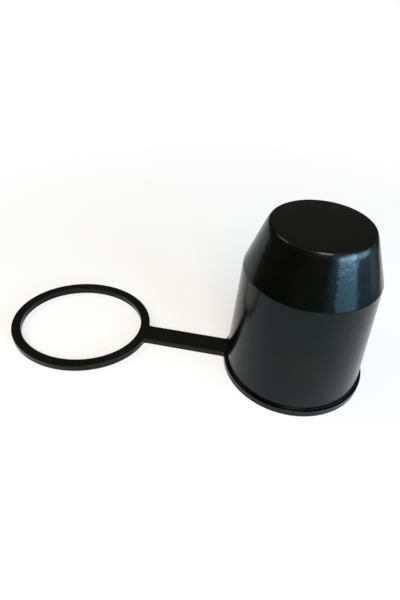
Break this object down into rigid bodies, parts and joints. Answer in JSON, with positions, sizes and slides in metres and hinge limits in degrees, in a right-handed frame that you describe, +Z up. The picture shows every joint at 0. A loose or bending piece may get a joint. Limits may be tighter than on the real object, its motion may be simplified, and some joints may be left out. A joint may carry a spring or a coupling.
{
  "type": "tow ball cover",
  "caption": "Soft black moulded cap with a conical crown and an open mouth, tied by a flat strap to an oval retaining ring; it covers a tow ball.",
  "frame": {"origin": "centre of the cap's open mouth, on the plane of the rim's underside that the cover rests on", "axes": "+Z up the cap's axis to its closed top, +X away from the ring, so the strap and ring lie towards -X"},
  "size_m": [0.164, 0.061, 0.0711],
  "materials": {
    "soft_black_vinyl": "satin to gloss, as moulded"
  },
  "bodies": {
    "root": {"tow_ball_cover": "soft_black_vinyl"}
  },
  "joints": []
}
